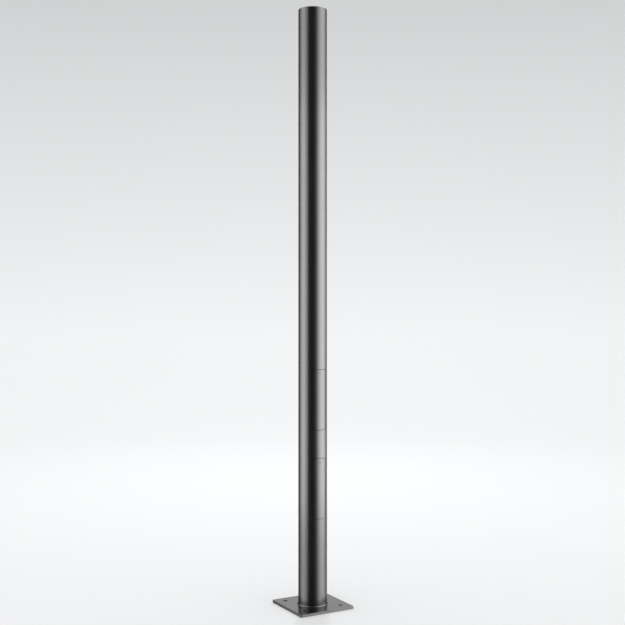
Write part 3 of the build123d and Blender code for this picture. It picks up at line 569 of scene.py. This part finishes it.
bpy.ops.mesh.primitive_cube_add(size=1, location=(plate_low + plate_high) / 2, scale=plate_high - plate_low)
bpy.ops.object.transform_apply(location=True, rotation=True, scale=True)
plate = bpy.context.object
choose(lambda middle, ends: abs(ends[0].z - ends[1].z) > 1e-4, "EDGE")
bpy.ops.mesh.bevel(offset=plate_corner, segments=6, affect="EDGES")
object_mode()
holes = [rod(column_hole_radius, (0, 0, -through), (0, 0, through), 192)]
for x in (-bolt_offset, bolt_offset):
    for y in (-bolt_offset, bolt_offset):
        holes.append(rod(bolt_hole_radius, (x, y, -through), (x, y, through), 64))
cut(plate, *holes)
soften(0.9, 3)
hand_over(plate, "anchor_plate", "base_plate")


# %% [markdown]
# ## Weld beads
# A weld is laid as a row of small overlapping pools, and each pool freezes as a ripple. One ripple is modelled
# from a circle round the corner that the weld fills, swept a few millimetres and swollen in its middle. The
# spin operator then copies it round the column.


# %% Weld beads
def weld_bead(name, node, corner_radius, outwards, ripple_width=3.2, swell=0.035):
    """A rippled fillet in the corner of its CAD ring, outside and above the corner or inside and below it."""
    low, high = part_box(node)
    leg = (high.z - low.z) / (1 + swell)
    corner = Vector((corner_radius, 0, low.z if outwards else high.z))
    side = 1 if outwards else -1
    count = round(2 * math.pi * corner_radius / (ripple_width * MM))
    pitch = 2 * math.pi / count
    bpy.ops.mesh.primitive_circle_add(vertices=24, radius=leg, location=corner, rotation=(math.pi / 2, 0, 0))
    bpy.ops.object.transform_apply(location=True, rotation=True, scale=True)
    # Three quarters of the circle lie in the two parts that the weld joins, so they are pressed nearly flat.
    choose(lambda at, _: (at.x - corner.x) * side < -1e-6, "VERT")
    bpy.ops.transform.resize(value=(0.1, 1, 1), center_override=corner)
    choose(lambda at, _: (at.z - corner.z) * side < -1e-6, "VERT")
    bpy.ops.transform.resize(value=(1, 1, 0.1), center_override=corner)
    bpy.ops.mesh.select_all(action="SELECT")
    bpy.ops.mesh.spin(steps=4, angle=pitch, center=(0, 0, 0), axis=(0, 0, 1))
    for ring in range(1, 4):
        swept = sum(v.co.y for v in bmesh.from_edit_mesh(bpy.context.object.data).verts)
        turn = math.copysign(ring * pitch / 4, swept)
        centre = Vector((corner.x * math.cos(turn), corner.x * math.sin(turn), corner.z))
        choose(lambda at, _: abs(math.atan2(at.y, at.x) - turn) < pitch / 10, "VERT")
        grow = 1 + swell * math.sin(math.pi * ring / 4)
        bpy.ops.transform.resize(value=(grow, grow, grow), center_override=centre)
    bpy.ops.mesh.select_all(action="SELECT")
    bpy.ops.mesh.spin(steps=count, dupli=True, angle=2 * math.pi, center=(0, 0, 0), axis=(0, 0, 1))
    bpy.ops.mesh.select_all(action="SELECT")
    bpy.ops.mesh.remove_doubles(threshold=2e-5)
    object_mode()
    return hand_over(bpy.context.object, name, node, smooth=60)


weld_bead("foot_weld", "base_weld", tube_radius, True)
weld_bead("inner_foot_weld", "root_weld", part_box("root_weld")[1].x, False, 2.6)
weld_bead("flange_weld", "top_flange_weld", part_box("top_flange_weld")[1].x, False, 2.6)

# %% [markdown]
# ## Luminaire flange
# A turned ring closes the top of the column. Cables pass through its bore, and the luminaire screws into its
# four tapped holes. It starts as a lathe outline, and the tapped holes are cut through it.

# %% Luminaire flange
flange_low, flange_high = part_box("top_flange")
bore_radius = 55 * MM
tapped_circle = 75 * MM
tapped_hole_radius = 3.4 * MM
flange = turned(
    [
        (bore_radius, 0), (flange_high.x, 0), (flange_high.x, flange_high.z - flange_low.z),
        (bore_radius, flange_high.z - flange_low.z), (bore_radius, 0),
    ],
    (0, 0, flange_low.z), (0, 0, 1), 160,
)  # fmt: skip
tapped = []
for quarter in range(4):
    angle = math.radians(45 + 90 * quarter)
    x, y = tapped_circle * math.cos(angle), tapped_circle * math.sin(angle)
    tapped.append(rod(tapped_hole_radius, (x, y, flange_low.z - through), (x, y, flange_high.z + through), 32))
cut(flange, *tapped)
soften(0.6)
hand_over(flange, "luminaire_flange", "top_flange")

# %% [markdown]
# ## Doors
# A door leaf is a piece of the same tube, which is why it sits flush. The leaf is the part of a thin shell that
# lies inside a block with rounded corners, and its seal is a narrower band of a second shell behind it.


# %% Doors
def shell(outer, inner, low, high):
    """An open cylinder with a wall, in line with the column's facets."""
    bpy.ops.mesh.primitive_cylinder_add(
        vertices=round_steps, radius=outer, depth=high - low, end_fill_type="NOTHING",
        location=(0, 0, (low + high) / 2),
    )  # fmt: skip
    bpy.ops.object.transform_apply(location=True, rotation=True, scale=True)
    modify("SOLIDIFY", thickness=outer - inner, offset=-1)
    return bpy.context.object


def door_outline(where, inset, reach=0.0):
    """The door's outline as a block that passes through its wall, smaller all round by inset."""
    low, high = door_boxes[where]
    return block(
        (low.x + inset, cut_front - reach, low.z + inset), (high.x - inset, cut_back + reach, high.z - inset),
        door_corner - inset, corner_steps,
    )  # fmt: skip


leaf_thickness = 3 * MM
sleeve_hole_radius = 7.15 * MM
seal_outer, seal_inner = 93.85 * MM, 92.45 * MM
seal_inset, seal_width = 1 * MM, 5 * MM
lock_centres = {}
for where, (low, high) in door_boxes.items():
    lock_low, lock_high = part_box(f"{where}_lock_housing")
    lock_centres[where] = Vector((0, lock_low.y, (lock_low.z + lock_high.z) / 2))
    leaf = shell(tube_radius, tube_radius - leaf_thickness, low.z - through, high.z + through)
    cut(leaf, door_outline(where, 0), operation="INTERSECT")
    centre = lock_centres[where]
    cut(leaf, rod(sleeve_hole_radius, (0, cut_front, centre.z), (0, cut_back, centre.z)))
    soften(0.2)
    hand_over(leaf, f"{where}_door_leaf", f"{where}_door_panel")
    seal = shell(seal_outer, seal_inner, low.z - through, high.z + through)
    cut(seal, door_outline(where, seal_inset), operation="INTERSECT")
    cut(seal, door_outline(where, seal_inset + seal_width, reach=0.01))
    soften(0.45, 3)
    hand_over(seal, f"{where}_door_seal", f"{where}_door_gasket")

# %% [markdown]
# ## Locks
# Each lock is a turned housing with a flange outside, a cup where the triangular key goes, and a sleeve through
# the door. The rotor in the cup is milled to a triangle, and its corners are rounded so that the key slides on.

# %% Locks
flange_radius, flange_depth = 9 * MM, 1.25 * MM
sleeve_radius = 7 * MM
cup_radius, cup_depth = 5.7 * MM, 8.5 * MM
shaft_hole_radius = 4.03 * MM
edge = 0.4 * MM
for where, centre in lock_centres.items():
    housing_low, housing_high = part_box(f"{where}_lock_housing")
    length = housing_high.y - housing_low.y
    grooves = []
    for turn in range(6):
        at = 4.2 * MM + turn * MM
        grooves += [(sleeve_radius, at), (sleeve_radius - 0.35 * MM, at + 0.5 * MM)]
    housing = turned(
        [
            (shaft_hole_radius, cup_depth), (cup_radius - edge, cup_depth), (cup_radius, cup_depth - edge),
            (cup_radius, edge / 2), (cup_radius + edge / 2, 0), (flange_radius - 2 * edge, 0),
            (flange_radius - edge / 2, edge / 2), (flange_radius, 1.5 * edge), (flange_radius, flange_depth),
            (sleeve_radius, flange_depth), *grooves, (sleeve_radius, length - edge),
            (sleeve_radius - edge, length), (shaft_hole_radius, length), (shaft_hole_radius, cup_depth),
        ],
        (0, housing_low.y, centre.z), (0, 1, 0), 64,
    )  # fmt: skip
    hand_over(housing, f"{where}_lock_cup", f"{where}_lock_housing")

# %% [markdown]
# ## Pieces that keep their CAD shape
# Pressed sheet, cut bars and moulded boxes already have the right shape in the CAD model, but every edge there
# is mathematically sharp. Real edges catch the light, so each of these pieces is a copy with its triangles
# merged into faces and its edges rounded by what deburring, rolling or the mould leaves.


# %% Softened pieces
def softened(node, name, width, segments=2, angle=40, finish=None):
    """A copy of a CAD node with rounded edges, in that node's place. width is in millimetres."""
    bpy.ops.object.select_all(action="DESELECT")
    original = frame["nodes"][node]
    original.select_set(True)
    bpy.context.view_layer.objects.active = original
    bpy.ops.object.duplicate()
    copy = bpy.context.object
    del copy["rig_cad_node"]
    copy.parent = None
    bpy.ops.mesh.customdata_custom_splitnormals_clear()
    bpy.ops.object.mode_set(mode="EDIT")
    bpy.ops.mesh.select_all(action="SELECT")
    bpy.ops.mesh.remove_doubles(threshold=5e-6)
    bpy.ops.mesh.dissolve_limited(angle_limit=math.radians(0.3))
    object_mode()
    soften(width, segments, angle)
    return hand_over(copy, name, node, finish=finish)


for where in ("lower", "upper"):
    # Frames and strikes sit behind the door gap, and their coat is painted darker as shade for the door joint.
    softened(f"{where}_door_frame", f"{where}_frame", 0.5, finish=recess_coat_and_painted_shade)
    softened(f"{where}_lock_strike", f"{where}_strike", 0.5, finish=recess_coat_and_painted_shade)
    softened(f"{where}_door_hook", f"{where}_hook", 0.6)
    softened(f"{where}_rail", f"{where}_equipment_rail", 0.4)
    softened(f"{where}_rail_brackets", f"{where}_brackets", 0.5)
    softened(f"{where}_rail_bolts", f"{where}_rail_screws", 0.3)
    softened(f"{where}_lock_cam", f"{where}_cam", 0.4)
    softened(f"{where}_lock_rotor", f"{where}_key_rotor", 0.25)
    softened(f"{where}_lock_screw", f"{where}_cam_screw", 0.3)
    softened(f"{where}_lock_nut", f"{where}_lock_ring_nut", 0.4)
    softened(f"{where}_lock_seal", f"{where}_lock_washer", 0.12)
    softened(f"{where}_door_earth_stud", f"{where}_earth_pin", 0.3)
    softened(f"{where}_door_earth_nut", f"{where}_earth_nut", 0.3)
softened("box_base", "wiring_box", 0.8)
softened("box_cover", "wiring_box_lid", 0.8)
softened("box_seal", "wiring_box_seal", 0.2)
softened("box_cover_screws", "lid_screws", 0.3)
softened("box_clamp_screws", "clamp_screws", 0.3)
softened("box_slide_nuts", "slide_nuts", 0.3)
softened("gland_bodies", "cable_gland_bodies", 0.3)
softened("gland_lock_nuts", "cable_gland_lock_nuts", 0.3)
softened("gland_dome_nuts", "cable_gland_domes", 0.3)
softened("gland_seals", "cable_gland_seals", 0.3)
softened("fuse_holders", "fuse_holder_bases", 0.5)
softened("fuse_carrier_left", "left_fuse_carrier", 0.6)
softened("fuse_carrier_right", "right_fuse_carrier", 0.6)
softened("terminal_block", "terminal_strip", 0.5)
softened("terminal_screws", "terminal_strip_screws", 0.2)
softened("earth_stud", "column_earth_stud", 0.4)
softened("earth_hardware", "column_earth_nuts", 0.3)

# %% [markdown]
# ## Fuse links
# A fuse link is a glazed ceramic tube with a nickel-plated cap on each end. Two bisecting planes mark where the
# caps end, and the faces beyond them get the metal.

# %% Fuse links
cap_length = 8 * MM
for side in ("left", "right"):
    link = softened(f"fuse_link_{side}", f"{side}_fuse_link", 0.3)
    low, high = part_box(f"fuse_link_{side}")
    along = max(range(3), key=lambda axis: high[axis] - low[axis])
    direction = Vector([float(axis == along) for axis in range(3)])
    link.select_set(True)
    bpy.context.view_layer.objects.active = link
    for end in (low[along] + cap_length, high[along] - cap_length):
        bpy.ops.object.mode_set(mode="EDIT")
        bpy.ops.mesh.select_all(action="SELECT")
        bpy.ops.mesh.bisect(plane_co=direction * end, plane_no=direction)
        object_mode()
    link.data.materials.append(nickel)
    for face in link.data.polygons:
        from_end = min(face.center[along] - low[along], high[along] - face.center[along])
        face.material_index = 1 if from_end < cap_length else 0
    link.select_set(False)
